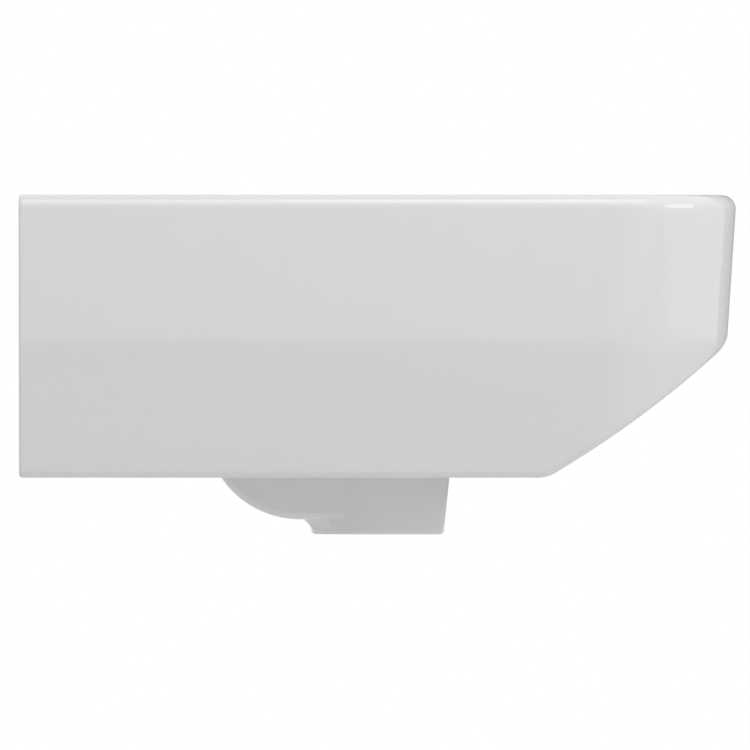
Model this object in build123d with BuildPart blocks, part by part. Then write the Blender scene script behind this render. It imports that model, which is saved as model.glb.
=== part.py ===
from build123d import *
import os
from math import radians, sin, tan

os.makedirs("parts", exist_ok=True)

# A wall basin of vitreous china with its overflow trim, push-open waste and wall sleeves, in millimetres.
# The wall face is the plane Y = 0, the rim's front lies at -Y, and Z = 0 is the height of the wall bolts.

# Outer body
basin_width = 600.0
projection = 460.0
rim_above_bolts = 75.0
body_height = 181.5
corner_radius = 80.0
back_edge_radius = 2.0
rim_radius = 9.0
lower_edge_radius = 6.0

# Outer sides: a slight draft down to a bend, then a steeper lean to the underside
upper_draft = 3.7
lower_lean = 13.0
bend_depth = 97.0
bend_radius = 60.0

# Sloping lower front: a long full arc from the front face to the underside, with a rounded bend at its start
slope_start_depth = 95.6
slope_end_projection = 338.5
slope_arc_radius = 666.0
slope_foot_radius = 20.0
slope_bend_rise = 5.0
slope_bend_run = 9.0

# Walls
apron_wall = 12.0
deck_thickness = 14.0
back_wall = 12.0
back_wall_depth = 110.0
bowl_wall = 10.0

# Bowl, measured from the waste's axis at its middle
waste_projection = 229.5
bowl_depth = 150.0
front_ledge = 14.0
side_ledge = 18.0
deck_length = 128.0
bowl_floor_reach = 38.0
bowl_front_corner = 66.0
bowl_front_corner_growth = 20.0
bowl_back_corner = 44.0
bowl_back_corner_growth = 24.0
largest_corner_share = 0.49
bowl_lip_radius = 6.0
bowl_fullness = 3.5
bowl_roundness = 0.6
bowl_levels = 16
skin_top_depth = 8.0

# Outlet boss, round behind and leaning in front, with the overflow duct running into it
boss_drop = 37.4
boss_radius = 43.0
boss_front_draft = 6.0
boss_top_depth = 154.0
boss_edge_radius = 3.0
duct_half_width = 39.0
duct_back_projection = 100.0
duct_top_depth = 26.0
duct_lean_depth = 67.5
duct_bottom_projection = 129.2
duct_foot_step = 9.7
duct_bend_radius = 61.7
duct_edge_radius = 6.0
duct_foot_radius = 8.0
duct_wall = 7.0

# Waste opening in the china
waste_hole_radius = 23.0
seat_radius = 35.0
seat_depth = 5.5
floor_skin = 10.0
chamber_radius = 28.0
outlet_skin = 7.0
recess_radius = 30.0
recess_depth = 29.0

# Overflow, tap and wall fixings
overflow_depth = 45.0
overflow_hole_radius = 11.5
overflow_seat_radius = 18.0
overflow_seat_cut = 0.4
tap_projection = 60.0
tap_hole_radius = 17.5
bolt_spacing = 280.0
bolt_hole_radius = 9.0
bolt_pad_radius = 26.0
bolt_pad_thickness = 4.0

# Overflow ring
ring_flange_radius = 16.0
ring_flange_thickness = 2.0
ring_edge_radius = 0.7
ring_sleeve_wall = 1.2
ring_sleeve_length = 9.0
ring_fit = 0.3

# Waste
gasket_thickness = 2.5
gasket_setback = 1.0
flange_radius = 33.0
flange_thickness = 2.6
waste_radius = 20.95
waste_bore_radius = 17.8
waste_end_clearance = 2.0
waste_rim_radius = 30.5
throat_radius = 20.0
throat_top_drop = 1.2
throat_depth = 6.0
window_width = 15.0
window_height = 14.0
window_count = 4
window_corner = 4.0
window_top_gap = 1.5
spider_depth = 44.0
spider_height = 6.0
spider_hub_radius = 9.5
spider_rib_width = 4.0
spider_rib_count = 3
spider_rib_bite = 1.5

# Rings and nut under the china
lower_washer_radius = 27.5
lower_washer_thickness = 3.0
slip_washer_radius = 27.0
slip_washer_thickness = 1.5
tail_groove_width = 1.5
tail_groove_depth = 0.8
nut_across_flats = 50.0
nut_sides = 8
nut_thickness = 8.0
nut_chamfer = 0.8
ring_clearance = 0.3
thread_gap = 0.15

# Push-open cartridge
cartridge_radius = 7.5
cartridge_thread_radius = 5.0
cartridge_bore_radius = 5.6
cartridge_cup_floor = 3.0
cartridge_length = 30.0
bush_head_thickness = 3.0
bush_plug_depth = 4.0
cartridge_locknut_flats = 16.0
cartridge_locknut_thickness = 4.0
cartridge_locknut_sides = 6
cartridge_thread_end = 1.0
running_gap = 0.05
plunger_radius = 3.0
piston_thickness = 4.0
plug_lift = 8.0
spring_wire_radius = 0.5
spring_coil_radius = 4.2
spring_turns = 6
stop_gap = 0.3

# Plug
plug_radius = 31.5
plug_edge_thickness = 2.0
plug_edge_radius = 0.8
plug_crown = 2.5
plug_flat_radius = 4.0
plug_gap = 0.5
plug_hub_radius = 6.0
plug_hub_depth = 10.0
plug_thread_depth = 8.0
seal_outer_radius = 19.0
seal_thickness = 3.0
carrier_radius = 14.0
carrier_lip_radius = 15.5
carrier_depth = 4.5

# Wall sleeves
sleeve_bore_radius = 5.25
sleeve_flange_radius = 13.0
sleeve_flange_thickness = 2.0

# How far a cutting shape runs past what it cuts
overcut = 1.0

# Heights and places that follow from the sizes above
rim_z = rim_above_bolts
bend_z = rim_z - bend_depth
underside_z = rim_z - body_height
foot_z = underside_z - boss_drop
floor_z = rim_z - bowl_depth
seat_z = floor_z - seat_depth
chamber_top_z = seat_z - floor_skin
duct_bottom_z = foot_z + duct_foot_step
outlet_z = foot_z + recess_depth
chamber_floor_z = outlet_z + outlet_skin
boss_top_z = rim_z - boss_top_depth
overflow_z = rim_z - overflow_depth
overflow_seat_y = -(deck_length - overflow_seat_cut)
flange_z = seat_z + gasket_thickness
waste_top_z = flange_z + flange_thickness
waste_end_z = foot_z + waste_end_clearance
washer_z = outlet_z - lower_washer_thickness
slip_z = washer_z - slip_washer_thickness
nut_z = slip_z - nut_thickness
spider_z = waste_top_z - spider_depth
cup_floor_z = spider_z + cartridge_cup_floor
cup_top_z = spider_z + cartridge_length
bush_bottom_z = cup_top_z - bush_plug_depth
piston_top_z = bush_bottom_z - stop_gap - plug_lift
piston_z = piston_top_z - piston_thickness
plug_z = waste_top_z + plug_gap
hub_z = plug_z - plug_hub_depth

# Planes that the pieces stand on
side_view = Plane.YZ
from_behind = Plane.XZ
waste_profile = Plane((0, -waste_projection, 0), x_dir=(0, -1, 0), z_dir=(-1, 0, 0))
waste_axis = Axis((0, -waste_projection, 0), (0, 0, 1))


def level(z):
    """A horizontal plane through the waste's axis."""
    return Plane((0, -waste_projection, z))


def outer_inset(depth):
    """How far the outer side has moved in at a depth below the rim, with a sharp bend."""
    widest_depth = rim_radius * (1 - sin(radians(upper_draft)))
    past_bend = max(0.0, depth - bend_depth)
    steeper = tan(radians(lower_lean)) - tan(radians(upper_draft))
    return (depth - widest_depth) * tan(radians(upper_draft)) + past_bend * steeper


def outer_section(depth, wall):
    """One level of the outer body, drawn in by a wall thickness at the front, sides and back."""
    inset = outer_inset(depth) + wall
    front = projection - inset
    with BuildSketch(Plane.XY.offset(rim_z - depth)) as section_sketch:
        with Locations((0, -(front + wall) / 2)):
            Rectangle(basin_width - 2 * inset, front - wall)
        fillet(section_sketch.vertices().group_by(Axis.Y)[0], corner_radius - wall)
    return section_sketch.sketch


def front_line(depth):
    """Where the front face stands in the side view at a depth below the rim."""
    return (-(projection - outer_inset(depth)), rim_z - depth)


def below_slope(wall):
    """The space below the sloping lower front, moved in by a wall thickness."""
    start = front_line(slope_start_depth)
    end = (-slope_end_projection, underside_z)
    bend_top = front_line(slope_start_depth - slope_bend_rise)
    below = underside_z - basin_width / 2
    outside = -projection - basin_width / 2
    with BuildPart() as space:
        with BuildSketch(side_view):
            with BuildLine():
                slope = RadiusArc(start, end, -slope_arc_radius, mode=Mode.PRIVATE)
                bend_foot = slope.position_at(slope_bend_run / slope.length)
                bend_way = slope.tangent_at(slope_bend_run / slope.length)
                RadiusArc(bend_foot, end, -slope_arc_radius)
                TangentArc(bend_foot, bend_top, tangent=-bend_way)
                Polyline(end, (end[0], below), (outside, below), (outside, bend_top[1]), bend_top)
            make_face()
            if wall > 0:
                offset(amount=wall, kind=Kind.INTERSECTION)
        extrude(amount=basin_width, both=True)
    return space.part


def bowl_section(depth, wall):
    """One level of the bowl, grown by a wall thickness."""
    share = min(1.0, max(0.0, depth / (bowl_depth + wall)))
    fullness = (1 - share**bowl_fullness) ** bowl_roundness
    floor_reach = bowl_floor_reach + wall
    front = floor_reach + (projection - front_ledge - waste_projection - bowl_floor_reach) * fullness
    back = floor_reach + (waste_projection - deck_length - bowl_floor_reach) * fullness
    side = floor_reach + (basin_width / 2 - side_ledge - bowl_floor_reach) * fullness
    largest_corner = largest_corner_share * (front + back)
    front_corner = min(bowl_front_corner + wall + bowl_front_corner_growth * share, largest_corner)
    back_corner = min(bowl_back_corner + wall + bowl_back_corner_growth * share, largest_corner)
    with BuildSketch(level(rim_z - depth)) as section_sketch:
        with Locations((0, (back - front) / 2)):
            Rectangle(2 * side, front + back)
        fillet(section_sketch.vertices().group_by(Axis.Y)[0], front_corner)
        fillet(section_sketch.vertices().group_by(Axis.Y)[-1], back_corner)
    return section_sketch.sketch


def bowl_space(top_depth, wall):
    """The bowl as a solid, from a level near the rim to its floor."""
    turns = [sin(radians(90 * step / bowl_levels)) for step in range(1, bowl_levels + 1)]
    depths = [top_depth] + [(bowl_depth + wall) * turn for turn in turns]
    with BuildPart() as space:
        loft([bowl_section(depth, wall) for depth in depths], ruled=True)
    return space.part


def duct_outline(wall):
    """Side view of the overflow duct behind and under the bowl, drawn in by its wall."""
    top = rim_z - duct_top_depth
    with BuildSketch(side_view) as outline:
        with BuildLine():
            FilletPolyline(
                (-waste_projection, top),
                (-duct_back_projection, top),
                (-duct_back_projection, rim_z - duct_lean_depth),
                (-duct_bottom_projection, duct_bottom_z),
                (-waste_projection, duct_bottom_z),
                radius=(duct_edge_radius, duct_bend_radius, duct_bend_radius),
            )
            Line((-waste_projection, duct_bottom_z), (-waste_projection, top))
        make_face()
        if wall > 0:
            offset(amount=-wall)
    return outline.sketch


# Overflow duct, with rounded long edges, as it stands before the bowl is cut
with BuildPart() as duct:
    extrude(duct_outline(0), amount=duct_half_width, both=True)
    side_edges = duct.faces().filter_by(Axis.X).edges()
    fillet(side_edges.filter_by_position(Axis.Y, -waste_projection, 0, (False, True)), duct_edge_radius)

# Channel inside the duct, down to the floor of the chamber round the waste
with BuildPart() as channel:
    extrude(duct_outline(duct_wall), amount=duct_half_width - duct_wall, both=True)
    split(bisect_by=Plane.XY.offset(chamber_floor_z), keep=Keep.TOP)

# Outlet boss: half a cylinder behind, a block with a leaning front before it
with BuildPart() as boss:
    boss_height = boss_top_z - foot_z
    boss_lean = boss_height * tan(radians(boss_front_draft))
    with BuildSketch(side_view):
        with BuildLine():
            Polyline(
                (-waste_projection, foot_z),
                (-waste_projection, boss_top_z),
                (-waste_projection - boss_radius - boss_lean, boss_top_z),
                (-waste_projection - boss_radius, foot_z),
                close=True,
            )
        make_face()
    extrude(amount=boss_radius, both=True)
    fillet(boss.faces().sort_by(Axis.Y)[0].edges().filter_by(Axis.X, reverse=True), boss_edge_radius)
    with BuildSketch(level(foot_z)):
        Circle(boss_radius)
    extrude(amount=boss_height)
    fillet(boss.faces().sort_by(Axis.Z)[0].edges(), boss_edge_radius)

# Flare where the duct's underside turns down into the boss
with BuildPart() as duct_foot:
    flare_top = duct_bottom_z + duct_foot_radius
    flare_bottom = duct_bottom_z - duct_foot_radius
    flare_reach = boss_radius + duct_foot_radius
    with BuildSketch(waste_profile):
        with BuildLine():
            Polyline(
                (boss_radius, flare_bottom),
                (boss_radius, flare_top),
                (flare_reach, flare_top),
                (flare_reach, duct_bottom_z),
            )
            RadiusArc((boss_radius, flare_bottom), (flare_reach, duct_bottom_z), duct_foot_radius)
        make_face()
    revolve(axis=waste_axis)
    with Locations((0, -waste_projection + flare_reach / 2, duct_bottom_z)):
        Box(2 * (duct_half_width - duct_edge_radius), flare_reach, 4 * duct_foot_radius, mode=Mode.INTERSECT)

# Hollow inside the apron, under the deck and in front of the back wall
with BuildPart() as hollow:
    hollow_depths = (deck_thickness, bend_depth, body_height + overcut)
    loft([outer_section(depth, apron_wall) for depth in hollow_depths], ruled=True)
    add(below_slope(apron_wall), mode=Mode.SUBTRACT)

# Basin body: apron and rim, bowl, deck, duct and boss in one piece of china
with BuildPart() as basin_body:
    loft([outer_section(depth, 0) for depth in (0, bend_depth, body_height)], ruled=True)
    for edge_z, radius in ((rim_z, rim_radius), (bend_z, bend_radius)):
        level_edges = basin_body.edges().filter_by_position(Axis.Z, edge_z - overcut, edge_z + overcut)
        fillet(level_edges.sort_by(Axis.Y)[:-1], radius)
    add(below_slope(0), mode=Mode.SUBTRACT)
    fillet(basin_body.faces().sort_by(Axis.Z)[0].edges().sort_by(Axis.Y)[0], slope_foot_radius)
    under_faces = basin_body.faces().filter_by(lambda face: face.normal_at().Z < -0.3)
    under_edges = [edge for face in under_faces for edge in face.edges()]
    outline_edges = [edge for edge in under_edges if sum(edge.is_same(other) for other in under_edges) == 1]
    fillet([edge for edge in outline_edges if edge.center().Y < -back_wall / 2], lower_edge_radius)
    fillet(basin_body.faces().sort_by(Axis.Y)[-1].edges(), back_edge_radius)

    # Hollow between the apron, the deck and the back wall, open below and behind
    add(hollow.part, mode=Mode.SUBTRACT)
    with BuildSketch(from_behind.offset(back_wall + overcut)):
        opening_width = basin_width - 2 * (outer_inset(body_height) + apron_wall)
        opening_top = rim_z - back_wall_depth
        with Locations((0, (opening_top + foot_z) / 2)):
            Rectangle(opening_width, opening_top - foot_z)
    extrude(amount=-back_wall - 2 * overcut, mode=Mode.SUBTRACT)
    with BuildSketch(from_behind.offset(back_wall - overcut)):
        with GridLocations(bolt_spacing, 0, 2, 1):
            Circle(bolt_pad_radius)
    extrude(amount=bolt_pad_thickness + overcut)

    # Duct, boss and bowl
    add(duct.part)
    add(boss.part)
    add(duct_foot.part)
    add(channel.part, mode=Mode.SUBTRACT)
    add(bowl_space(skin_top_depth, bowl_wall))
    add(bowl_space(-overcut, 0), mode=Mode.SUBTRACT)
    fillet(basin_body.faces().sort_by(Axis.Z)[-1].inner_wires()[0].edges(), bowl_lip_radius)

    # Waste opening: seat for the flange, hole, overflow chamber and the recess below it
    with BuildSketch(level(floor_z + overcut)):
        Circle(seat_radius)
    extrude(amount=seat_z - floor_z - overcut, mode=Mode.SUBTRACT)
    with BuildSketch(level(floor_z)):
        Circle(waste_hole_radius)
    extrude(amount=foot_z - floor_z, mode=Mode.SUBTRACT)
    with BuildSketch(level(chamber_top_z)):
        Circle(chamber_radius)
    extrude(amount=chamber_floor_z - chamber_top_z, mode=Mode.SUBTRACT)
    with BuildSketch(level(outlet_z)):
        Circle(recess_radius)
    extrude(amount=-recess_depth - overcut, mode=Mode.SUBTRACT)

    # Tap hole, overflow hole with a flat seat for its ring, and the wall bolt holes
    with BuildSketch(Plane((0, -tap_projection, rim_z + overcut))):
        Circle(tap_hole_radius)
    extrude(amount=-deck_thickness - 2 * overcut, mode=Mode.SUBTRACT)
    with BuildSketch(from_behind.offset(-overflow_seat_y)):
        with Locations((0, overflow_z)):
            Circle(overflow_seat_radius)
    extrude(amount=bowl_wall, mode=Mode.SUBTRACT)
    with BuildSketch(from_behind.offset(-overflow_seat_y)):
        with Locations((0, overflow_z)):
            Circle(overflow_hole_radius)
    extrude(amount=-bowl_wall - 2 * overcut, mode=Mode.SUBTRACT)
    with BuildSketch(from_behind):
        with GridLocations(bolt_spacing, 0, 2, 1):
            Circle(bolt_hole_radius)
    extrude(amount=back_wall + bolt_pad_thickness + overcut, mode=Mode.SUBTRACT)
basin_body.part.label = "basin_body"
export_step(basin_body.part, "parts/basin_body.step")

# Overflow ring: chrome flange and sleeve that line the hole
with BuildPart() as overflow_ring:
    with BuildSketch(from_behind.offset(-overflow_seat_y)):
        with Locations((0, overflow_z)):
            Circle(ring_flange_radius)
    extrude(amount=ring_flange_thickness)
    with BuildSketch(from_behind.offset(-overflow_seat_y)):
        with Locations((0, overflow_z)):
            Circle(overflow_hole_radius - ring_fit)
    extrude(amount=-ring_sleeve_length)
    with BuildSketch(from_behind.offset(-overflow_seat_y + ring_flange_thickness + overcut)):
        with Locations((0, overflow_z)):
            Circle(overflow_hole_radius - ring_fit - ring_sleeve_wall)
    extrude(amount=-ring_sleeve_length - ring_flange_thickness - 2 * overcut, mode=Mode.SUBTRACT)
    fillet(overflow_ring.faces().sort_by(Axis.Y)[0].edges(), ring_edge_radius)
overflow_ring.part.label = "overflow_ring"
export_step(overflow_ring.part, "parts/overflow_ring.step")


def washer(outer_radius, inner_radius, thickness, z):
    """A flat ring round the waste's axis, standing on a height."""
    with BuildPart() as ring:
        with BuildSketch(level(z)):
            Circle(outer_radius)
            Circle(inner_radius, mode=Mode.SUBTRACT)
        extrude(amount=thickness)
    return ring.part


# Waste body: flange with a dished throat, threaded tube, overflow windows and the spider inside
with BuildPart() as waste_body:
    with BuildSketch(waste_profile):
        with BuildLine():
            Polyline(
                (flange_radius, flange_z),
                (waste_radius, flange_z),
                (waste_radius, nut_z),
                (waste_radius - tail_groove_depth, nut_z),
                (waste_radius - tail_groove_depth, nut_z - tail_groove_width),
                (waste_radius, nut_z - tail_groove_width),
                (waste_radius, waste_end_z),
                (waste_bore_radius, waste_end_z),
                (waste_bore_radius, waste_top_z - throat_depth),
                (throat_radius, waste_top_z - throat_top_drop),
                (waste_rim_radius, waste_top_z),
                (flange_radius, waste_top_z - throat_top_drop),
                close=True,
            )
        make_face()
    revolve(axis=waste_axis)
    window_z = chamber_top_z - window_top_gap - window_height / 2
    window_reach = waste_radius - waste_bore_radius + overcut
    with Locations((0, -waste_projection, window_z)):
        with PolarLocations(0, window_count):
            with Locations((waste_radius, 0, 0)):
                Box(2 * window_reach, window_width, window_height, mode=Mode.SUBTRACT)
    with BuildSketch(level(spider_z - spider_height)):
        Circle(spider_hub_radius)
        with PolarLocations((spider_hub_radius + waste_bore_radius) / 2, spider_rib_count):
            Rectangle(waste_bore_radius - spider_hub_radius + 2 * spider_rib_bite, spider_rib_width)
        Circle(cartridge_thread_radius, mode=Mode.SUBTRACT)
    extrude(amount=spider_height)
waste_body.part.label = "waste_body"
export_step(waste_body.part, "parts/waste_body.step")

ring_bore_radius = waste_radius + ring_clearance
flange_gasket = washer(flange_radius - gasket_setback, ring_bore_radius, gasket_thickness, seat_z)
flange_gasket.label = "flange_gasket"
export_step(flange_gasket, "parts/flange_gasket.step")

lower_washer = washer(lower_washer_radius, ring_bore_radius, lower_washer_thickness, washer_z)
lower_washer.label = "lower_washer"
export_step(lower_washer, "parts/lower_washer.step")

slip_washer = washer(slip_washer_radius, ring_bore_radius, slip_washer_thickness, slip_z)
slip_washer.label = "slip_washer"
export_step(slip_washer, "parts/slip_washer.step")

# Backnut: eight flats, run up the waste's thread
with BuildPart() as backnut:
    with BuildSketch(level(nut_z)):
        RegularPolygon(nut_across_flats / 2, nut_sides, major_radius=False)
        Circle(waste_radius + thread_gap, mode=Mode.SUBTRACT)
    extrude(amount=nut_thickness)
    chamfer(backnut.faces().filter_by(Axis.Z).edges().filter_by(GeomType.LINE), nut_chamfer)
backnut.part.label = "backnut"
export_step(backnut.part, "parts/backnut.step")

# Cartridge: a cup standing on the spider, its threaded end held by a locknut under the hub
with BuildPart() as cartridge_body:
    with BuildSketch(level(spider_z)):
        Circle(cartridge_radius)
    extrude(amount=cartridge_length)
    with BuildSketch(level(cup_floor_z)):
        Circle(cartridge_bore_radius)
    extrude(amount=cartridge_length, mode=Mode.SUBTRACT)
    with BuildSketch(level(spider_z)):
        Circle(cartridge_thread_radius - thread_gap)
    extrude(amount=-spider_height - cartridge_locknut_thickness - cartridge_thread_end)
cartridge_body.part.label = "cartridge_body"
export_step(cartridge_body.part, "parts/cartridge_body.step")

with BuildPart() as cartridge_locknut:
    with BuildSketch(level(spider_z - spider_height - cartridge_locknut_thickness)):
        RegularPolygon(cartridge_locknut_flats / 2, cartridge_locknut_sides, major_radius=False)
        Circle(cartridge_thread_radius, mode=Mode.SUBTRACT)
    extrude(amount=cartridge_locknut_thickness)
cartridge_locknut.part.label = "cartridge_locknut"
export_step(cartridge_locknut.part, "parts/cartridge_locknut.step")

# Bush that closes the cup and guides the plunger
with BuildPart() as cartridge_bush:
    with BuildSketch(level(bush_bottom_z)):
        Circle(cartridge_bore_radius)
    extrude(amount=bush_plug_depth)
    with BuildSketch(level(cup_top_z)):
        Circle(cartridge_radius)
    extrude(amount=bush_head_thickness)
    with BuildSketch(level(bush_bottom_z)):
        Circle(plunger_radius + running_gap)
    extrude(amount=bush_plug_depth + bush_head_thickness, mode=Mode.SUBTRACT)
cartridge_bush.part.label = "cartridge_bush"
export_step(cartridge_bush.part, "parts/cartridge_bush.step")

# Plunger: rod with a piston in the cup and its top screwed into the plug
with BuildPart() as plunger:
    with BuildSketch(level(piston_z)):
        Circle(cartridge_bore_radius - running_gap)
    extrude(amount=piston_thickness)
    with BuildSketch(level(piston_z)):
        Circle(plunger_radius)
    extrude(amount=hub_z + plug_thread_depth - piston_z)
plunger.part.label = "plunger"
export_step(plunger.part, "parts/plunger.step")

# Coil spring between the cup's floor and the piston
with BuildPart() as plunger_spring:
    spring_height = piston_z - cup_floor_z - 2 * spring_wire_radius
    spring_base = (0, -waste_projection, cup_floor_z + spring_wire_radius)
    with BuildLine():
        coil = Helix(spring_height / spring_turns, spring_height, spring_coil_radius, center=spring_base)
    with BuildSketch(Plane(origin=coil @ 0, z_dir=coil % 0)):
        Circle(spring_wire_radius)
    sweep()
plunger_spring.part.label = "plunger_spring"
export_step(plunger_spring.part, "parts/plunger_spring.step")

# Plug cap: low dome with a carrier for the seal and a hub for the plunger
with BuildPart() as plug_cap:
    with BuildSketch(waste_profile) as cap_profile:
        with BuildLine():
            edge_top = (plug_radius, plug_z + plug_edge_thickness)
            crown_top = (plug_flat_radius, plug_z + plug_edge_thickness + plug_crown)
            TangentArc(crown_top, edge_top, tangent=(1, 0))
            Polyline(
                crown_top,
                (0, plug_z + plug_edge_thickness + plug_crown),
                (0, hub_z + plug_thread_depth),
                (plunger_radius, hub_z + plug_thread_depth),
                (plunger_radius, hub_z),
                (plug_hub_radius, hub_z),
                (plug_hub_radius, plug_z - carrier_depth),
                (carrier_lip_radius, plug_z - carrier_depth),
                (carrier_lip_radius, plug_z - seal_thickness),
                (carrier_radius, plug_z - seal_thickness),
                (carrier_radius, plug_z),
                (plug_radius, plug_z),
                edge_top,
            )
        make_face()
        fillet(cap_profile.vertices().sort_by_distance(edge_top)[0], plug_edge_radius)
    revolve(axis=waste_axis)
plug_cap.part.label = "plug_cap"
export_step(plug_cap.part, "parts/plug_cap.step")

plug_seal = washer(seal_outer_radius, carrier_radius, seal_thickness, plug_z - seal_thickness)
plug_seal.label = "plug_seal"
export_step(plug_seal, "parts/plug_seal.step")

# Nylon sleeves in the wall bolt holes, flanged against the pads inside
with BuildPart() as fixing_sleeves:
    with BuildSketch(from_behind):
        with GridLocations(bolt_spacing, 0, 2, 1):
            Circle(bolt_hole_radius - ring_clearance)
    extrude(amount=back_wall + bolt_pad_thickness)
    with BuildSketch(from_behind.offset(back_wall + bolt_pad_thickness)):
        with GridLocations(bolt_spacing, 0, 2, 1):
            Circle(sleeve_flange_radius)
    extrude(amount=sleeve_flange_thickness)
    with BuildSketch(from_behind):
        with GridLocations(bolt_spacing, 0, 2, 1):
            Circle(sleeve_bore_radius)
    extrude(amount=back_wall + bolt_pad_thickness + sleeve_flange_thickness, mode=Mode.SUBTRACT)
fixing_sleeves.part.label = "fixing_sleeves"
export_step(fixing_sleeves.part, "parts/fixing_sleeves.step")
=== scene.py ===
import math

import bmesh
import bpy
import numpy as np
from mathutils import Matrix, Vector


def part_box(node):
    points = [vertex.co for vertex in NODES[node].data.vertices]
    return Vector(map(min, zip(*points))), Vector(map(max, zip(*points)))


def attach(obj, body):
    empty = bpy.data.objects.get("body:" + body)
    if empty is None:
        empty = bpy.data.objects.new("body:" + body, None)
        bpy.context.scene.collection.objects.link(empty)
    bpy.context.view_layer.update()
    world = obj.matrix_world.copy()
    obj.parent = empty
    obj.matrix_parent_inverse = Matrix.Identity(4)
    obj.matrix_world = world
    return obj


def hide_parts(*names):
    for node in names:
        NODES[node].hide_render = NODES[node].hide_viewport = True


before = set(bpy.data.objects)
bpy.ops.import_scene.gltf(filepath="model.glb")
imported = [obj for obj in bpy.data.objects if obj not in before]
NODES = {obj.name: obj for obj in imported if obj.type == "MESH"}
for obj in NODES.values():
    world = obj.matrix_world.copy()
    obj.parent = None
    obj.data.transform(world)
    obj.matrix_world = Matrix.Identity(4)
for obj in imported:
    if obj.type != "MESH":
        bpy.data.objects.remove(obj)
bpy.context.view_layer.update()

# Where the basin's main places are, in metres, read from the fixed frame
BODY_LOW, BODY_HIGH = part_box("basin_body")
WASTE_LOW, WASTE_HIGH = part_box("waste_body")
NUT_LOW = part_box("backnut")[0]
RIM_Z = BODY_HIGH.z
FOOT_Z = BODY_LOW.z
HALF_WIDTH = BODY_HIGH.x
WASTE_Y = (WASTE_LOW.y + WASTE_HIGH.y) / 2

# The photograph's view: a side elevation, so a very long lens looks square at the side
VIEW_WIDTH = 0.4801
VIEW_CENTRE_FROM_WALL = 0.22815
VIEW_CENTRE_BELOW_RIM = 0.11566
LENS_MM = 1600.0
SENSOR_MM = 36.0
CAMERA_REACH = 100.0

# The room: a pale floor at the height that a basin hangs above it
FLOOR_BELOW_RIM = 0.85
FLOOR_HALF_SIZE = 4.5

# Light, where a strength of 1 lights a white card fully; the floor covers most of the ground's share
SKY_STRENGTH = 0.66
GROUND_STRENGTH = 0.8
SKY_EDGE = 0.35
KEY_POWER = 37.0
FRONT_POWER = 16.5
TOP_POWER = 0.6
KEY_PLACE = (-1.9, -0.45, 3.0)
KEY_SIZE = (2.8, 2.2)
FRONT_PLACE = (-1.3, -3.0, 0.9)
FRONT_SIZE = (1.6, 1.2)
TOP_PLACE = (-0.96, WASTE_Y, 1.42)
TOP_SIZE = (0.35, 0.30)

# Grey card beyond the front's far end, which only the glaze and metal mirror
FLAG_TONE = 0.38
FLAG_DISTANCE = 1.3
FLAG_NEAR = 0.50
FLAG_FAR = 2.2
FLAG_TOP = 1.2

# China: merging and blending its facets, and telling its faces apart by where they lie
MERGE_DISTANCE = 0.000002
SMOOTH_ANGLE = 14.0
FACET_TINY = 1e-12
EDGE_TINY = 1e-18
BISCUIT_SKIN = 0.0004
OUTSIDE_SKIN = 0.006
SIDE_SKIN = 0.0045
SIDE_SLOPE = 0.065
LOWER_SLOPE_MORE = 0.166
BEND_DEPTH = 0.097
SQUARE_ON = 0.9
LOOKS_UP = 0.02
APRON_HEIGHT = 0.1815
FACE_BATCHES = 40
DECK_THICKNESS = 0.014
BOSS_HALF_WIDTH = 0.0445

# Thread on the waste's tail below the nut, as a ridge on the plain cylinder
WASTE_PITCH = 0.002309
WASTE_TURNS = 5.0
WASTE_ROOT = 0.0208
WASTE_RIDGE = 0.0006
THREAD_GAP = 0.0012
THREAD_STEPS = 72
THREAD_SIDES = 4

# Which finish each piece has that keeps the frame's shape
NODE_FINISHES = {
    "chrome": ("waste_body", "overflow_ring", "plug_cap"),
    "brass": ("backnut", "cartridge_body", "cartridge_bush", "cartridge_locknut", "plunger"),
    "rubber": ("flange_gasket", "lower_washer", "plug_seal"),
    "nylon": ("slip_washer", "fixing_sleeves"),
    "spring": ("plunger_spring",),
}


def add_node(tree, kind, place=(0, 0), **settings):
    """A node in a tree, with its settings made and its inputs given by name."""
    node = tree.nodes.new(kind)
    node.location = place
    for key, value in settings.items():
        if key in node.inputs:
            node.inputs[key].default_value = value
        else:
            setattr(node, key, value)
    return node


def link(tree, source, target):
    """Join one socket to another."""
    tree.links.new(source, target)


def new_group(name, inputs, outputs):
    """A shader node group with named inputs and outputs."""
    group = bpy.data.node_groups.new(name, "ShaderNodeTree")
    for label, kind, value in inputs:
        socket = group.interface.new_socket(name=label, in_out="INPUT", socket_type=kind)
        if value is not None:
            socket.default_value = value
    for label, kind in outputs:
        group.interface.new_socket(name=label, in_out="OUTPUT", socket_type=kind)
    return group, add_node(group, "NodeGroupInput", (-800, 0)), add_node(group, "NodeGroupOutput", (600, 0))


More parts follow.
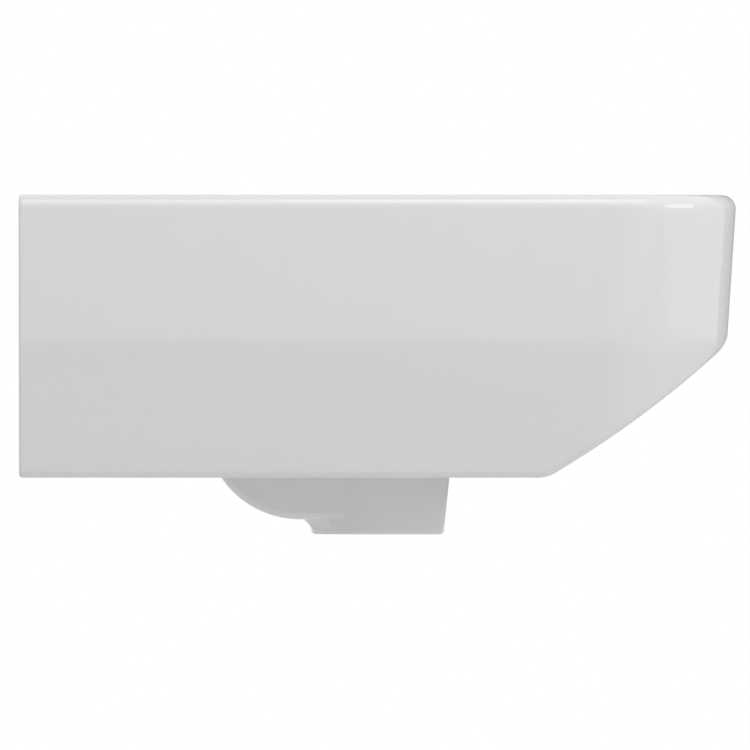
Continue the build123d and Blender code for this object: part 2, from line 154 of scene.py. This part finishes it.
def tone_group():
    """Cloudy change of tone over a surface, as firing, casting and plating leave it."""
    group, given, out = new_group(
        "cloudy_tone",
        (("Color", "NodeSocketColor", (0.8, 0.8, 0.8, 1)), ("Size", "NodeSocketFloat", 12.0),
         ("Amount", "NodeSocketFloat", 0.02)),
        (("Color", "NodeSocketColor"), ("Cloud", "NodeSocketFloat")),
    )
    place = add_node(group, "ShaderNodeTexCoord", (-800, -300))
    noise = add_node(group, "ShaderNodeTexNoise", (-550, -200), Detail=3.0, Roughness=0.55)
    spread = add_node(group, "ShaderNodeMath", (-300, -200), operation="SUBTRACT")
    spread.inputs[1].default_value = 0.5
    scaled = add_node(group, "ShaderNodeMath", (-120, -200), operation="MULTIPLY")
    factor = add_node(group, "ShaderNodeMath", (60, -200), operation="ADD")
    factor.inputs[1].default_value = 1.0
    tone = add_node(group, "ShaderNodeVectorMath", (260, 0), operation="SCALE")
    link(group, place.outputs["Object"], noise.inputs["Vector"])
    link(group, given.outputs["Size"], noise.inputs["Scale"])
    link(group, noise.outputs["Fac"], spread.inputs[0])
    link(group, spread.outputs[0], scaled.inputs[0])
    link(group, given.outputs["Amount"], scaled.inputs[1])
    link(group, scaled.outputs[0], factor.inputs[0])
    link(group, given.outputs["Color"], tone.inputs[0])
    link(group, factor.outputs[0], tone.inputs["Scale"])
    link(group, tone.outputs[0], out.inputs["Color"])
    link(group, noise.outputs["Fac"], out.inputs["Cloud"])
    return group


def ripple_group():
    """Small relief over a surface, from the slow ripple of glaze to the grain of moulded rubber."""
    group, given, out = new_group(
        "fine_relief",
        (("Size", "NodeSocketFloat", 120.0), ("Fine share", "NodeSocketFloat", 0.3)),
        (("Height", "NodeSocketFloat"),),
    )
    place = add_node(group, "ShaderNodeTexCoord", (-800, -300))
    noise = add_node(group, "ShaderNodeTexNoise", (-500, -100), Detail=2.0, Roughness=0.5)
    fine = add_node(group, "ShaderNodeTexNoise", (-500, -400), Detail=1.0, Roughness=0.4)
    finer = add_node(group, "ShaderNodeMath", (-650, -400), operation="MULTIPLY")
    finer.inputs[1].default_value = 6.0
    weigh = add_node(group, "ShaderNodeMath", (-250, -300), operation="MULTIPLY")
    total = add_node(group, "ShaderNodeMath", (0, -100), operation="ADD")
    link(group, place.outputs["Object"], noise.inputs["Vector"])
    link(group, place.outputs["Object"], fine.inputs["Vector"])
    link(group, given.outputs["Size"], noise.inputs["Scale"])
    link(group, given.outputs["Size"], finer.inputs[0])
    link(group, finer.outputs[0], fine.inputs["Scale"])
    link(group, fine.outputs["Fac"], weigh.inputs[0])
    link(group, given.outputs["Fine share"], weigh.inputs[1])
    link(group, noise.outputs["Fac"], total.inputs[0])
    link(group, weigh.outputs[0], total.inputs[1])
    link(group, total.outputs[0], out.inputs["Height"])
    return group


def turned_group():
    """Fine rings round the waste's axis, left by a lathe."""
    group, given, out = new_group(
        "turned_rings",
        (("Rings per metre", "NodeSocketFloat", 2500.0), ("Unevenness", "NodeSocketFloat", 2.0)),
        (("Height", "NodeSocketFloat"),),
    )
    place = add_node(group, "ShaderNodeTexCoord", (-1000, 0))
    centre = add_node(group, "ShaderNodeMapping", (-800, 0), Location=(0, -WASTE_Y, 0))
    split = add_node(group, "ShaderNodeSeparateXYZ", (-620, 0))
    squared_x = add_node(group, "ShaderNodeMath", (-450, 100), operation="MULTIPLY")
    squared_y = add_node(group, "ShaderNodeMath", (-450, -60), operation="MULTIPLY")
    both = add_node(group, "ShaderNodeMath", (-280, 0), operation="ADD")
    radius = add_node(group, "ShaderNodeMath", (-120, 0), operation="SQRT")
    along = add_node(group, "ShaderNodeMath", (20, 0), operation="ADD")
    rings = add_node(group, "ShaderNodeMath", (160, 0), operation="MULTIPLY")
    noise = add_node(group, "ShaderNodeTexNoise", (-280, -300), Scale=400.0, Detail=1.0)
    uneven = add_node(group, "ShaderNodeMath", (0, -300), operation="MULTIPLY")
    shifted = add_node(group, "ShaderNodeMath", (300, 0), operation="ADD")
    wave = add_node(group, "ShaderNodeMath", (440, 0), operation="SINE")
    link(group, place.outputs["Object"], centre.inputs["Vector"])
    link(group, centre.outputs[0], split.inputs[0])
    for axis, square in (("X", squared_x), ("Y", squared_y)):
        link(group, split.outputs[axis], square.inputs[0])
        link(group, split.outputs[axis], square.inputs[1])
    link(group, squared_x.outputs[0], both.inputs[0])
    link(group, squared_y.outputs[0], both.inputs[1])
    link(group, both.outputs[0], radius.inputs[0])
    link(group, radius.outputs[0], along.inputs[0])
    link(group, split.outputs["Z"], along.inputs[1])
    link(group, along.outputs[0], rings.inputs[0])
    link(group, given.outputs["Rings per metre"], rings.inputs[1])
    link(group, place.outputs["Object"], noise.inputs["Vector"])
    link(group, noise.outputs["Fac"], uneven.inputs[0])
    link(group, given.outputs["Unevenness"], uneven.inputs[1])
    link(group, rings.outputs[0], shifted.inputs[0])
    link(group, uneven.outputs[0], shifted.inputs[1])
    link(group, shifted.outputs[0], wave.inputs[0])
    link(group, wave.outputs[0], out.inputs["Height"])
    return group


CLOUDY_TONE = tone_group()
FINE_RELIEF = ripple_group()
TURNED_RINGS = turned_group()


def use_group(tree, group, place, **values):
    """A group placed in a material with its own values."""
    node = add_node(tree, "ShaderNodeGroup", place, node_tree=group)
    for label, value in values.items():
        node.inputs[label.replace("_", " ")].default_value = value
    return node


def finish_material(name, colour, cloud, rough, relief, shader_values, rings=None):
    """A material of cloudy colour, uneven roughness and fine relief, with lathe rings where asked."""
    material = bpy.data.materials.new(name)
    material.use_nodes = True
    tree = material.node_tree
    shader = next(node for node in tree.nodes if node.type == "BSDF_PRINCIPLED")
    for label, value in shader_values.items():
        shader.inputs[label].default_value = value
    size, amount = cloud
    tone = use_group(tree, CLOUDY_TONE, (-700, 200), Color=(*colour, 1), Size=size, Amount=amount)
    link(tree, tone.outputs["Color"], shader.inputs["Base Color"])
    spread = add_node(tree, "ShaderNodeMapRange", (-450, -50))
    spread.inputs["To Min"].default_value, spread.inputs["To Max"].default_value = rough
    link(tree, tone.outputs["Cloud"], spread.inputs["Value"])
    link(tree, spread.outputs[0], shader.inputs["Roughness"])
    relief_size, fine_share, height = relief
    grain = use_group(tree, FINE_RELIEF, (-700, -300), Size=relief_size, Fine_share=fine_share)
    bump = add_node(tree, "ShaderNodeBump", (-250, -300), Strength=1.0, Distance=height)
    link(tree, grain.outputs["Height"], bump.inputs["Height"])
    last = bump
    if rings:
        per_metre, unevenness, ring_height = rings
        turned = use_group(tree, TURNED_RINGS, (-700, -600), Rings_per_metre=per_metre,
                           Unevenness=unevenness)
        last = add_node(tree, "ShaderNodeBump", (-50, -450), Strength=1.0, Distance=ring_height)
        link(tree, turned.outputs["Height"], last.inputs["Height"])
        link(tree, bump.outputs["Normal"], last.inputs["Normal"])
    link(tree, last.outputs["Normal"], shader.inputs["Normal"])
    return material


def make_materials():
    """Every finish by name: its colour, cloud size and amount, roughness, relief and shader values."""
    coat = {"Coat Weight": 1.0, "Coat Roughness": 0.05, "Coat IOR": 1.5, "IOR": 1.3,
            "Specular IOR Level": 0.2}
    return {
        "glaze": finish_material("white_glaze", (0.84, 0.84, 0.84), (9.0, 0.012), (0.36, 0.44),
                                 (70.0, 0.15, 0.00003), coat),
        "thin_glaze": finish_material("thin_inside_glaze", (0.79, 0.785, 0.77), (22.0, 0.06), (0.45, 0.6),
                                      (160.0, 0.5, 0.00012), {"Coat Weight": 0.35, "Coat Roughness": 0.25}),
        "biscuit": finish_material("unglazed_china", (0.76, 0.735, 0.69), (30.0, 0.08), (0.8, 0.92),
                                   (600.0, 0.6, 0.00008), {"Specular IOR Level": 0.25}),
        "chrome": finish_material("chrome_plate", (0.80, 0.81, 0.82), (40.0, 0.03), (0.05, 0.10),
                                  (300.0, 0.2, 0.000004), {"Metallic": 1.0}),
        "brass": finish_material("turned_brass", (0.72, 0.55, 0.27), (80.0, 0.12), (0.22, 0.34),
                                 (900.0, 0.4, 0.00001), {"Metallic": 1.0}, (9000.0, 3.0, 0.00002)),
        "rubber": finish_material("moulded_rubber", (0.035, 0.035, 0.037), (150.0, 0.25), (0.55, 0.7),
                                  (1400.0, 0.5, 0.00003), {"Specular IOR Level": 0.4}),
        "nylon": finish_material("white_nylon", (0.82, 0.82, 0.80), (90.0, 0.04), (0.38, 0.5),
                                 (800.0, 0.4, 0.00002),
                                 {"Subsurface Weight": 0.05, "Subsurface Scale": 0.001}),
        "spring": finish_material("drawn_steel", (0.58, 0.58, 0.58), (500.0, 0.1), (0.2, 0.32),
                                  (2500.0, 0.4, 0.000006), {"Metallic": 1.0}),
    }


def read_vectors(items, name, count):
    """A mesh property as rows of three numbers."""
    values = np.empty(count * 3, dtype=np.float32)
    items.foreach_get(name, values)
    return values.reshape(-1, 3).astype(np.float64)


def merge_facets(mesh):
    """Join the mesh's doubled points, and return which of its first faces each kept face is."""
    shape = bmesh.new()
    shape.from_mesh(mesh)
    number = shape.faces.layers.int.new("number")
    for index, face in enumerate(shape.faces):
        face[number] = index
    bmesh.ops.remove_doubles(shape, verts=shape.verts, dist=MERGE_DISTANCE)
    vectors = shape.loops.layers.float_vector
    for layer in list(vectors.keys()):
        vectors.remove(vectors[layer])
    shape.to_mesh(mesh)
    shape.free()
    kept = np.empty(len(mesh.polygons), dtype=np.int32)
    mesh.attributes["number"].data.foreach_get("value", kept)
    mesh.attributes.remove(mesh.attributes["number"])
    return kept


def corner_angles(corners):
    """The angle of each triangle at each of its corners."""
    ahead = np.stack([corners[:, (k + 1) % 3] - corners[:, k] for k in range(3)], 1)
    behind = -np.roll(ahead, 1, axis=1)
    lengths = np.linalg.norm(ahead, axis=2) * np.linalg.norm(behind, axis=2)
    cosine = (ahead * behind).sum(2) / (lengths + EDGE_TINY)
    return np.arccos(np.clip(cosine, -1, 1)).reshape(-1)


def blend_normals(normals, corner_vertex, weight):
    """Corner normals averaged with those at the same point that lie within the smooth angle."""
    order = np.argsort(corner_vertex, kind="stable")
    starts = np.flatnonzero(np.r_[True, np.diff(corner_vertex[order]) > 0])
    ends = np.r_[starts[1:], len(order)]
    near = math.cos(math.radians(SMOOTH_ANGLE))
    blended = normals.copy()
    for start, end in zip(starts, ends):
        group = order[start:end]
        own = normals[group]
        summed = ((own @ own.T > near) * weight[group]) @ own
        length = np.linalg.norm(summed, axis=1)[:, None]
        blended[group] = np.where(length > 0, summed / np.maximum(length, FACET_TINY), own)
    return blended


def smooth_china(materials):
    """The china as one merged mesh, with shading blended over its facets and a finish for each face."""
    source = NODES["basin_body"].data
    corner_normals = read_vectors(source.corner_normals, "vector", len(source.loops))
    mesh = source.copy()
    kept = merge_facets(mesh)
    normals = corner_normals.reshape(-1, 3, 3)[kept].reshape(-1, 3)
    corner_vertex = np.empty(len(mesh.loops), dtype=np.int64)
    mesh.loops.foreach_get("vertex_index", corner_vertex)
    points = read_vectors(mesh.vertices, "co", len(mesh.vertices))
    corners = points[corner_vertex].reshape(-1, 3, 3)
    blended = blend_normals(normals, corner_vertex, corner_angles(corners))
    for polygon in mesh.polygons:
        polygon.use_smooth = True
    mesh.normals_split_custom_set(blended.tolist())
    mesh.materials.clear()
    for name in ("glaze", "thin_glaze", "biscuit"):
        mesh.materials.append(materials[name])
    paint_china(mesh, corners.mean(1), points)
    piece = bpy.data.objects.new("china_body", mesh)
    bpy.context.scene.collection.objects.link(piece)
    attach(piece, "basin")
    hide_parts("basin_body")


def on_outside(facing, middles, points):
    """Which faces lie on the apron's outside: at its sides, or with nothing of it beyond the face's plane."""
    depth = RIM_Z - middles[:, 2]
    side = HALF_WIDTH - depth * SIDE_SLOPE - np.maximum(0, depth - BEND_DEPTH) * LOWER_SLOPE_MORE
    at_side = np.abs(middles[:, 0]) > side - SIDE_SKIN
    shell = points[points[:, 2] > RIM_Z - APRON_HEIGHT - BISCUIT_SKIN]
    furthest = [(part @ shell.T).max(axis=1) for part in np.array_split(facing, FACE_BATCHES)]
    return at_side | (np.concatenate(furthest) - (facing * middles).sum(axis=1) < OUTSIDE_SKIN)


def paint_china(mesh, middles, points):
    """Bare clay on the wall face and the boss's foot, thin glaze inside the apron, white elsewhere."""
    facing = read_vectors(mesh.polygon_normals, "vector", len(mesh.polygons))
    x, y, z = middles.T
    wall_face = (y > -BISCUIT_SKIN) & (facing[:, 1] > SQUARE_ON)
    foot = (z < FOOT_Z + BISCUIT_SKIN) & (facing[:, 2] < -SQUARE_ON)
    bowl_side = facing[:, 2] > LOOKS_UP
    under_deck = (z < RIM_Z - DECK_THICKNESS + BISCUIT_SKIN) & (y < -BISCUIT_SKIN)
    hollow = under_deck & ~bowl_side & (np.abs(x) > BOSS_HALF_WIDTH) & ~on_outside(facing, middles, points)
    slot = np.zeros(len(mesh.polygons), dtype=np.int32)
    slot[hollow] = 1
    slot[wall_face | foot] = 2
    mesh.polygons.foreach_set("material_index", slot)


def thread_nodes():
    """Geometry Nodes for a screw thread: a closed ridge that winds down round the waste's axis."""
    group = bpy.data.node_groups.new("thread_ridge", "GeometryNodeTree")
    for label in ("Turns", "Pitch", "Radius", "Ridge", "Top"):
        group.interface.new_socket(name=label, in_out="INPUT", socket_type="NodeSocketFloat")
    group.interface.new_socket(name="Material", in_out="INPUT", socket_type="NodeSocketMaterial")
    group.interface.new_socket(name="Geometry", in_out="OUTPUT", socket_type="NodeSocketGeometry")
    given = add_node(group, "NodeGroupInput", (-900, 0))
    out = add_node(group, "NodeGroupOutput", (900, 0))
    height = add_node(group, "ShaderNodeMath", (-650, -100), operation="MULTIPLY")
    down = add_node(group, "ShaderNodeMath", (-450, -300), operation="SUBTRACT")
    spiral = add_node(group, "GeometryNodeCurveSpiral", (-450, 100), Resolution=THREAD_STEPS)
    upright = add_node(group, "GeometryNodeSetCurveNormal", (-250, 100), mode="Z_UP")
    profile = add_node(group, "GeometryNodeCurvePrimitiveCircle", (-250, -100), Resolution=THREAD_SIDES)
    ridge = add_node(group, "GeometryNodeCurveToMesh", (0, 100))
    ridge.inputs["Fill Caps"].default_value = True
    place = add_node(group, "ShaderNodeCombineXYZ", (0, -250), Y=WASTE_Y)
    move = add_node(group, "GeometryNodeTransform", (250, 100))
    realize = add_node(group, "GeometryNodeRealizeInstances", (450, 100))
    finish = add_node(group, "GeometryNodeSetMaterial", (650, 100))
    link(group, given.outputs["Turns"], height.inputs[0])
    link(group, given.outputs["Pitch"], height.inputs[1])
    link(group, given.outputs["Turns"], spiral.inputs["Rotations"])
    link(group, given.outputs["Radius"], spiral.inputs["Start Radius"])
    link(group, given.outputs["Radius"], spiral.inputs["End Radius"])
    link(group, height.outputs[0], spiral.inputs["Height"])
    link(group, given.outputs["Ridge"], profile.inputs["Radius"])
    link(group, spiral.outputs["Curve"], upright.inputs["Curve"])
    link(group, upright.outputs["Curve"], ridge.inputs["Curve"])
    link(group, profile.outputs["Curve"], ridge.inputs["Profile Curve"])
    link(group, given.outputs["Top"], down.inputs[0])
    link(group, height.outputs[0], down.inputs[1])
    link(group, down.outputs[0], place.inputs["Z"])
    link(group, ridge.outputs["Mesh"], move.inputs["Geometry"])
    link(group, place.outputs[0], move.inputs["Translation"])
    link(group, move.outputs["Geometry"], realize.inputs["Geometry"])
    link(group, realize.outputs["Geometry"], finish.inputs["Geometry"])
    link(group, given.outputs["Material"], finish.inputs["Material"])
    link(group, finish.outputs["Geometry"], out.inputs["Geometry"])
    return group


def wind_thread(name, group, material, slot, **values):
    """One thread made from the node group, left as a plain closed mesh."""
    maker = bpy.data.objects.new(name + "_maker", bpy.data.meshes.new(name + "_maker"))
    bpy.context.scene.collection.objects.link(maker)
    modifier = maker.modifiers.new("thread", "NODES")
    modifier.node_group = group
    sockets = {item.name: item.identifier for item in group.interface.items_tree if item.in_out == "INPUT"}
    for label, value in dict(values, Material=material).items():
        modifier[sockets[label]] = value
    bpy.context.view_layer.update()
    mesh = bpy.data.meshes.new_from_object(maker.evaluated_get(bpy.context.evaluated_depsgraph_get()))
    bpy.data.objects.remove(maker)
    shape = bmesh.new()
    shape.from_mesh(mesh)
    bmesh.ops.recalc_face_normals(shape, faces=shape.faces)
    shape.to_mesh(mesh)
    shape.free()
    thread = bpy.data.objects.new(name, mesh)
    bpy.context.scene.collection.objects.link(thread)
    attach(thread, "basin")


def dress_node(name, material):
    """A better finish on a piece whose shape stays as the frame has it."""
    node = NODES[name]
    if not node.material_slots:
        node.data.materials.append(material)
    for slot in node.material_slots:
        slot.material = material


def photo_camera():
    """The camera of the photograph, looking along +X with the front of the basin on the right."""
    data = bpy.data.cameras.new("photo_camera")
    data.lens = LENS_MM
    data.sensor_width = SENSOR_MM
    data.clip_end = CAMERA_REACH
    distance = VIEW_WIDTH * LENS_MM / SENSOR_MM
    camera = bpy.data.objects.new("photo_camera", data)
    camera.location = (-HALF_WIDTH - distance, -VIEW_CENTRE_FROM_WALL, RIM_Z - VIEW_CENTRE_BELOW_RIM)
    camera.rotation_euler = (math.pi / 2, 0, -math.pi / 2)
    bpy.context.scene.collection.objects.link(camera)
    bpy.context.scene.camera = camera


def studio_world():
    """Soft light from all round, and plain white for the camera, mirrored and transmitted rays."""
    world = bpy.data.worlds.new("studio")
    world.use_nodes = True
    bpy.context.scene.world = world
    tree = world.node_tree
    tree.nodes.clear()
    output = add_node(tree, "ShaderNodeOutputWorld", (800, 0))
    mix = add_node(tree, "ShaderNodeMixShader", (600, 0))
    path = add_node(tree, "ShaderNodeLightPath", (-200, 400))
    seen = add_node(tree, "ShaderNodeMath", (50, 350), operation="MAXIMUM")
    through = add_node(tree, "ShaderNodeMath", (250, 300), operation="MAXIMUM")
    soft = add_node(tree, "ShaderNodeBackground", (350, 0))
    white = add_node(tree, "ShaderNodeBackground", (350, -150), Color=(1, 1, 1, 1), Strength=1.0)
    direction = add_node(tree, "ShaderNodeTexCoord", (-600, 0))
    split = add_node(tree, "ShaderNodeSeparateXYZ", (-400, 0))
    height = add_node(tree, "ShaderNodeMapRange", (-200, 0), interpolation_type="SMOOTHSTEP")
    spread = (("From Min", -SKY_EDGE), ("From Max", SKY_EDGE),
              ("To Min", GROUND_STRENGTH), ("To Max", SKY_STRENGTH))
    for label, value in spread:
        height.inputs[label].default_value = value
    link(tree, direction.outputs["Generated"], split.inputs[0])
    link(tree, split.outputs["Z"], height.inputs["Value"])
    link(tree, height.outputs[0], soft.inputs["Strength"])
    link(tree, path.outputs["Is Camera Ray"], seen.inputs[0])
    link(tree, path.outputs["Is Glossy Ray"], seen.inputs[1])
    link(tree, seen.outputs[0], through.inputs[0])
    link(tree, path.outputs["Is Transmission Ray"], through.inputs[1])
    link(tree, through.outputs[0], mix.inputs["Fac"])
    link(tree, soft.outputs[0], mix.inputs[1])
    link(tree, white.outputs[0], mix.inputs[2])
    link(tree, mix.outputs[0], output.inputs["Surface"])


def soft_lamp(name, place, size, power):
    """A soft box of the given width and height, turned to the middle of the basin."""
    data = bpy.data.lights.new(name, "AREA")
    data.shape = "RECTANGLE"
    data.size, data.size_y = size
    data.energy = power
    lamp = bpy.data.objects.new(name, data)
    lamp.location = place
    aim = Vector((0, WASTE_Y, RIM_Z)) - Vector(place)
    lamp.rotation_euler = aim.to_track_quat("-Z", "Y").to_euler()
    bpy.context.scene.collection.objects.link(lamp)


def grey_flag(name):
    """A grey card for mirror rays only, so that edges seen aslant don't fade into the white."""
    x = FLAG_DISTANCE
    low, high = RIM_Z - FLOOR_BELOW_RIM, RIM_Z + FLAG_TOP
    mesh = bpy.data.meshes.new(name)
    corners = [(x, -FLAG_NEAR, low), (x, -FLAG_FAR, low), (x, -FLAG_FAR, high), (x, -FLAG_NEAR, high)]
    mesh.from_pydata(corners, [], [(0, 1, 2, 3)])
    flag = bpy.data.objects.new(name, mesh)
    bpy.context.scene.collection.objects.link(flag)
    material = bpy.data.materials.new(name)
    material.use_nodes = True
    tree = material.node_tree
    tree.nodes.clear()
    glow = add_node(tree, "ShaderNodeEmission", (0, 0), Color=(1, 1, 1, 1), Strength=FLAG_TONE)
    output = add_node(tree, "ShaderNodeOutputMaterial", (300, 0))
    link(tree, glow.outputs[0], output.inputs["Surface"])
    mesh.materials.append(material)
    flag.visible_camera = False
    flag.visible_diffuse = False
    flag.visible_shadow = False
    flag.visible_transmission = False


def see_through_below(material):
    """Let the camera look up through the floor, so that the basin's underside can be seen."""
    tree = material.node_tree
    shader = next(node for node in tree.nodes if node.type == "BSDF_PRINCIPLED")
    output = next(node for node in tree.nodes if node.type == "OUTPUT_MATERIAL")
    place = add_node(tree, "ShaderNodeNewGeometry", (100, -300))
    path = add_node(tree, "ShaderNodeLightPath", (100, -550))
    both = add_node(tree, "ShaderNodeMath", (350, -350), operation="MULTIPLY")
    clear = add_node(tree, "ShaderNodeBsdfTransparent", (350, -150))
    mix = add_node(tree, "ShaderNodeMixShader", (600, 0))
    link(tree, place.outputs["Backfacing"], both.inputs[0])
    link(tree, path.outputs["Is Camera Ray"], both.inputs[1])
    link(tree, both.outputs[0], mix.inputs["Fac"])
    link(tree, shader.outputs[0], mix.inputs[1])
    link(tree, clear.outputs[0], mix.inputs[2])
    link(tree, mix.outputs[0], output.inputs["Surface"])


def pale_floor():
    """A plain pale floor under the basin, which takes its shadow."""
    mesh = bpy.data.meshes.new("floor")
    z = RIM_Z - FLOOR_BELOW_RIM
    half = FLOOR_HALF_SIZE
    near, far = WASTE_Y - half, WASTE_Y + half
    corners = [(-half, near, z), (half, near, z), (half, far, z), (-half, far, z)]
    mesh.from_pydata(corners, [], [(0, 1, 2, 3)])
    floor = bpy.data.objects.new("floor", mesh)
    bpy.context.scene.collection.objects.link(floor)
    paint = finish_material("pale_floor", (0.86, 0.86, 0.86), (1.5, 0.015), (0.7, 0.8),
                            (40.0, 0.3, 0.0001), {"Specular IOR Level": 0.2})
    see_through_below(paint)
    mesh.materials.append(paint)


MATERIALS = make_materials()
smooth_china(MATERIALS)
for finish, names in NODE_FINISHES.items():
    for node_name in names:
        dress_node(node_name, MATERIALS[finish])
wind_thread("waste_thread", thread_nodes(), MATERIALS["chrome"], "chrome", Turns=WASTE_TURNS,
            Pitch=WASTE_PITCH, Radius=WASTE_ROOT, Ridge=WASTE_RIDGE, Top=NUT_LOW.z - THREAD_GAP)
photo_camera()
studio_world()
pale_floor()
soft_lamp("key_box", KEY_PLACE, KEY_SIZE, KEY_POWER)
soft_lamp("front_box", FRONT_PLACE, FRONT_SIZE, FRONT_POWER)
soft_lamp("top_box", TOP_PLACE, TOP_SIZE, TOP_POWER)
grey_flag("front_flag")
bpy.context.scene.view_settings.view_transform = "Standard"
